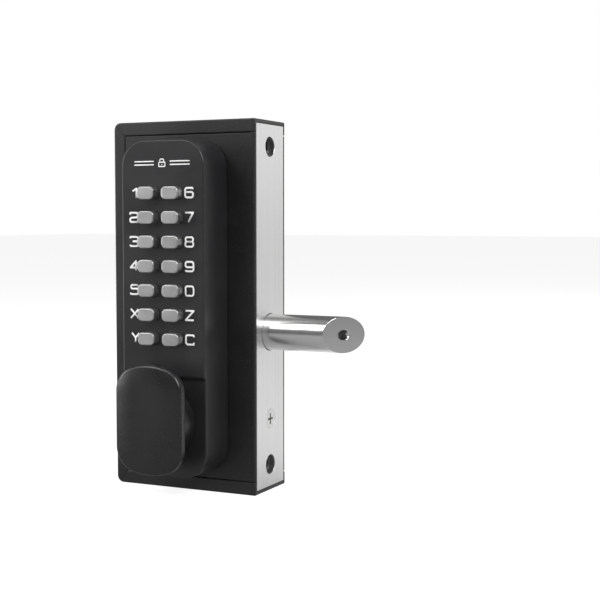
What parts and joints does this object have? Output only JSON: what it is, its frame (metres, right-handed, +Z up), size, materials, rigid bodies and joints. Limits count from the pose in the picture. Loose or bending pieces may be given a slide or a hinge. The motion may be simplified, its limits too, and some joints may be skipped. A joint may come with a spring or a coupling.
{
  "type": "push-button gate lock",
  "caption": "Double-sided mechanical push-button lock for a metal gate, with turning grips, a stainless faceplate and a round bevelled latch bolt.",
  "frame": {"origin": "on the flat gate-side face of the case, on its mid-plane, midway between the two fixing bolts", "axes": "+X from the gate frame out along the latch bolt, +Y towards the back keypad (the front keypad faces -Y), +Z up"},
  "size_m": [0.1423, 0.1244, 0.206],
  "materials": {
    "black_powder_coat": "semi-gloss powder coat, finely orange-peeled",
    "brushed_stainless": "brushed along its length",
    "stainless_screw": "plain stainless",
    "turned_stainless": "fine turned",
    "button_steel": "satin, tumbled edges",
    "zinc_plated_steel": "bright zinc plate",
    "cast_zinc": "as cast",
    "spring_steel": "bright wire",
    "bearing_brass": "turned",
    "gasket_rubber": "matte"
  },
  "bodies": {
    "case": {"case_frame": "black_powder_coat", "faceplate": "brushed_stainless", "faceplate_screw": "stainless_screw", "fixing_spacers": "black_powder_coat", "latch_guide_block": "cast_zinc", "latch_spring": "spring_steel", "front_cover_plate": "black_powder_coat", "front_keypad_housing": "black_powder_coat", "front_housing_gasket": "gasket_rubber", "front_housing_screws": "stainless_screw", "front_code_plate": "zinc_plated_steel", "front_button_springs": "spring_steel", "front_spindle_bush": "bearing_brass", "front_knob_spring": "spring_steel", "back_cover_plate": "black_powder_coat", "back_keypad_housing": "black_powder_coat", "back_housing_gasket": "gasket_rubber", "back_housing_screws": "stainless_screw", "back_code_plate": "zinc_plated_steel", "back_button_springs": "spring_steel", "back_spindle_bush": "bearing_brass", "back_knob_spring": "spring_steel"},
    "front_knob": {"front_knob": "black_powder_coat", "front_spindle": "zinc_plated_steel", "front_clutch_sleeve": "zinc_plated_steel"},
    "back_knob": {"back_knob": "black_powder_coat", "back_spindle": "zinc_plated_steel", "back_clutch_sleeve": "zinc_plated_steel"},
    "retractor": {"retractor_lever": "zinc_plated_steel"},
    "latch": {"latch_slide": "zinc_plated_steel", "latch_bolt": "turned_stainless", "latch_adjusting_screw": "zinc_plated_steel"},
    "front_button_1": {"front_button_1": "button_steel"},
    "front_button_6": {"front_button_6": "button_steel"},
    "front_button_2": {"front_button_2": "button_steel"},
    "front_button_7": {"front_button_7": "button_steel"},
    "front_button_3": {"front_button_3": "button_steel"},
    "front_button_8": {"front_button_8": "button_steel"},
    "front_button_4": {"front_button_4": "button_steel"},
    "front_button_9": {"front_button_9": "button_steel"},
    "front_button_5": {"front_button_5": "button_steel"},
    "front_button_0": {"front_button_0": "button_steel"},
    "front_button_x": {"front_button_x": "button_steel"},
    "front_button_z": {"front_button_z": "button_steel"},
    "front_button_y": {"front_button_y": "button_steel"},
    "front_button_c": {"front_button_c": "button_steel"},
    "back_button_1": {"back_button_1": "button_steel"},
    "back_button_6": {"back_button_6": "button_steel"},
    "back_button_2": {"back_button_2": "button_steel"},
    "back_button_7": {"back_button_7": "button_steel"},
    "back_button_3": {"back_button_3": "button_steel"},
    "back_button_8": {"back_button_8": "button_steel"},
    "back_button_4": {"back_button_4": "button_steel"},
    "back_button_9": {"back_button_9": "button_steel"},
    "back_button_5": {"back_button_5": "button_steel"},
    "back_button_0": {"back_button_0": "button_steel"},
    "back_button_x": {"back_button_x": "button_steel"},
    "back_button_z": {"back_button_z": "button_steel"},
    "back_button_y": {"back_button_y": "button_steel"},
    "back_button_c": {"back_button_c": "button_steel"}
  },
  "joints": [
    {"name": "front_knob_turn", "type": "hinge", "parent": "case", "child": "front_knob", "pos_m": [0.0477, 0, -0.061], "axis": [0, -1, 0], "range_deg": [0, 74], "stiffness_Nm_per_rad": 0.12, "springref_deg": -34.38},
    {"name": "back_knob_turn", "type": "hinge", "parent": "case", "child": "back_knob", "pos_m": [0.0477, 0, -0.061], "axis": [0, 1, 0], "range_deg": [0, 74], "stiffness_Nm_per_rad": 0.12, "springref_deg": -34.38},
    {"name": "retractor_turn", "type": "hinge", "parent": "case", "child": "retractor", "pos_m": [0.0477, 0, -0.061], "axis": [0, -1, 0], "range_deg": [0, 74]},
    {"name": "latch_slide", "type": "slide", "parent": "case", "child": "latch", "axis": [-1, 0, 0], "range_m": [0, 0.0217], "deforming": ["latch_spring"]},
    {"name": "front_button_1_press", "type": "slide", "parent": "case", "child": "front_button_1", "axis": [0, 1, 0], "range_m": [0, 0.003], "stiffness_N_per_m": 400, "springref_m": -0.003, "deforming": ["front_button_springs"]},
    {"name": "front_button_6_press", "type": "slide", "parent": "case", "child": "front_button_6", "axis": [0, 1, 0], "range_m": [0, 0.003], "stiffness_N_per_m": 400, "springref_m": -0.003, "deforming": ["front_button_springs"]},
    {"name": "front_button_2_press", "type": "slide", "parent": "case", "child": "front_button_2", "axis": [0, 1, 0], "range_m": [0, 0.003], "stiffness_N_per_m": 400, "springref_m": -0.003, "deforming": ["front_button_springs"]},
    {"name": "front_button_7_press", "type": "slide", "parent": "case", "child": "front_button_7", "axis": [0, 1, 0], "range_m": [0, 0.003], "stiffness_N_per_m": 400, "springref_m": -0.003, "deforming": ["front_button_springs"]},
    {"name": "front_button_3_press", "type": "slide", "parent": "case", "child": "front_button_3", "axis": [0, 1, 0], "range_m": [0, 0.003], "stiffness_N_per_m": 400, "springref_m": -0.003, "deforming": ["front_button_springs"]},
    {"name": "front_button_8_press", "type": "slide", "parent": "case", "child": "front_button_8", "axis": [0, 1, 0], "range_m": [0, 0.003], "stiffness_N_per_m": 400, "springref_m": -0.003, "deforming": ["front_button_springs"]},
    {"name": "front_button_4_press", "type": "slide", "parent": "case", "child": "front_button_4", "axis": [0, 1, 0], "range_m": [0, 0.003], "stiffness_N_per_m": 400, "springref_m": -0.003, "deforming": ["front_button_springs"]},
    {"name": "front_button_9_press", "type": "slide", "parent": "case", "child": "front_button_9", "axis": [0, 1, 0], "range_m": [0, 0.003], "stiffness_N_per_m": 400, "springref_m": -0.003, "deforming": ["front_button_springs"]},
    {"name": "front_button_5_press", "type": "slide", "parent": "case", "child": "front_button_5", "axis": [0, 1, 0], "range_m": [0, 0.003], "stiffness_N_per_m": 400, "springref_m": -0.003, "deforming": ["front_button_springs"]},
    {"name": "front_button_0_press", "type": "slide", "parent": "case", "child": "front_button_0", "axis": [0, 1, 0], "range_m": [0, 0.003], "stiffness_N_per_m": 400, "springref_m": -0.003, "deforming": ["front_button_springs"]},
    {"name": "front_button_x_press", "type": "slide", "parent": "case", "child": "front_button_x", "axis": [0, 1, 0], "range_m": [0, 0.003], "stiffness_N_per_m": 400, "springref_m": -0.003, "deforming": ["front_button_springs"]},
    {"name": "front_button_z_press", "type": "slide", "parent": "case", "child": "front_button_z", "axis": [0, 1, 0], "range_m": [0, 0.003], "stiffness_N_per_m": 400, "springref_m": -0.003, "deforming": ["front_button_springs"]},
    {"name": "front_button_y_press", "type": "slide", "parent": "case", "child": "front_button_y", "axis": [0, 1, 0], "range_m": [0, 0.003], "stiffness_N_per_m": 400, "springref_m": -0.003, "deforming": ["front_button_springs"]},
    {"name": "front_button_c_press", "type": "slide", "parent": "case", "child": "front_button_c", "axis": [0, 1, 0], "range_m": [0, 0.003], "stiffness_N_per_m": 400, "springref_m": -0.003, "deforming": ["front_button_springs"]},
    {"name": "back_button_1_press", "type": "slide", "parent": "case", "child": "back_button_1", "axis": [0, -1, 0], "range_m": [0, 0.003], "stiffness_N_per_m": 400, "springref_m": -0.003, "deforming": ["back_button_springs"]},
    {"name": "back_button_6_press", "type": "slide", "parent": "case", "child": "back_button_6", "axis": [0, -1, 0], "range_m": [0, 0.003], "stiffness_N_per_m": 400, "springref_m": -0.003, "deforming": ["back_button_springs"]},
    {"name": "back_button_2_press", "type": "slide", "parent": "case", "child": "back_button_2", "axis": [0, -1, 0], "range_m": [0, 0.003], "stiffness_N_per_m": 400, "springref_m": -0.003, "deforming": ["back_button_springs"]},
    {"name": "back_button_7_press", "type": "slide", "parent": "case", "child": "back_button_7", "axis": [0, -1, 0], "range_m": [0, 0.003], "stiffness_N_per_m": 400, "springref_m": -0.003, "deforming": ["back_button_springs"]},
    {"name": "back_button_3_press", "type": "slide", "parent": "case", "child": "back_button_3", "axis": [0, -1, 0], "range_m": [0, 0.003], "stiffness_N_per_m": 400, "springref_m": -0.003, "deforming": ["back_button_springs"]},
    {"name": "back_button_8_press", "type": "slide", "parent": "case", "child": "back_button_8", "axis": [0, -1, 0], "range_m": [0, 0.003], "stiffness_N_per_m": 400, "springref_m": -0.003, "deforming": ["back_button_springs"]},
    {"name": "back_button_4_press", "type": "slide", "parent": "case", "child": "back_button_4", "axis": [0, -1, 0], "range_m": [0, 0.003], "stiffness_N_per_m": 400, "springref_m": -0.003, "deforming": ["back_button_springs"]},
    {"name": "back_button_9_press", "type": "slide", "parent": "case", "child": "back_button_9", "axis": [0, -1, 0], "range_m": [0, 0.003], "stiffness_N_per_m": 400, "springref_m": -0.003, "deforming": ["back_button_springs"]},
    {"name": "back_button_5_press", "type": "slide", "parent": "case", "child": "back_button_5", "axis": [0, -1, 0], "range_m": [0, 0.003], "stiffness_N_per_m": 400, "springref_m": -0.003, "deforming": ["back_button_springs"]},
    {"name": "back_button_0_press", "type": "slide", "parent": "case", "child": "back_button_0", "axis": [0, -1, 0], "range_m": [0, 0.003], "stiffness_N_per_m": 400, "springref_m": -0.003, "deforming": ["back_button_springs"]},
    {"name": "back_button_x_press", "type": "slide", "parent": "case", "child": "back_button_x", "axis": [0, -1, 0], "range_m": [0, 0.003], "stiffness_N_per_m": 400, "springref_m": -0.003, "deforming": ["back_button_springs"]},
    {"name": "back_button_z_press", "type": "slide", "parent": "case", "child": "back_button_z", "axis": [0, -1, 0], "range_m": [0, 0.003], "stiffness_N_per_m": 400, "springref_m": -0.003, "deforming": ["back_button_springs"]},
    {"name": "back_button_y_press", "type": "slide", "parent": "case", "child": "back_button_y", "axis": [0, -1, 0], "range_m": [0, 0.003], "stiffness_N_per_m": 400, "springref_m": -0.003, "deforming": ["back_button_springs"]},
    {"name": "back_button_c_press", "type": "slide", "parent": "case", "child": "back_button_c", "axis": [0, -1, 0], "range_m": [0, 0.003], "stiffness_N_per_m": 400, "springref_m": -0.003, "deforming": ["back_button_springs"]}
  ],
  "couplings": [
    {"joint": "retractor_turn", "follows": "front_knob_turn", "ratio": 1},
    {"joint": "latch_slide", "follows": "front_knob_turn", "m_per_rad": 0.01677}
  ]
}
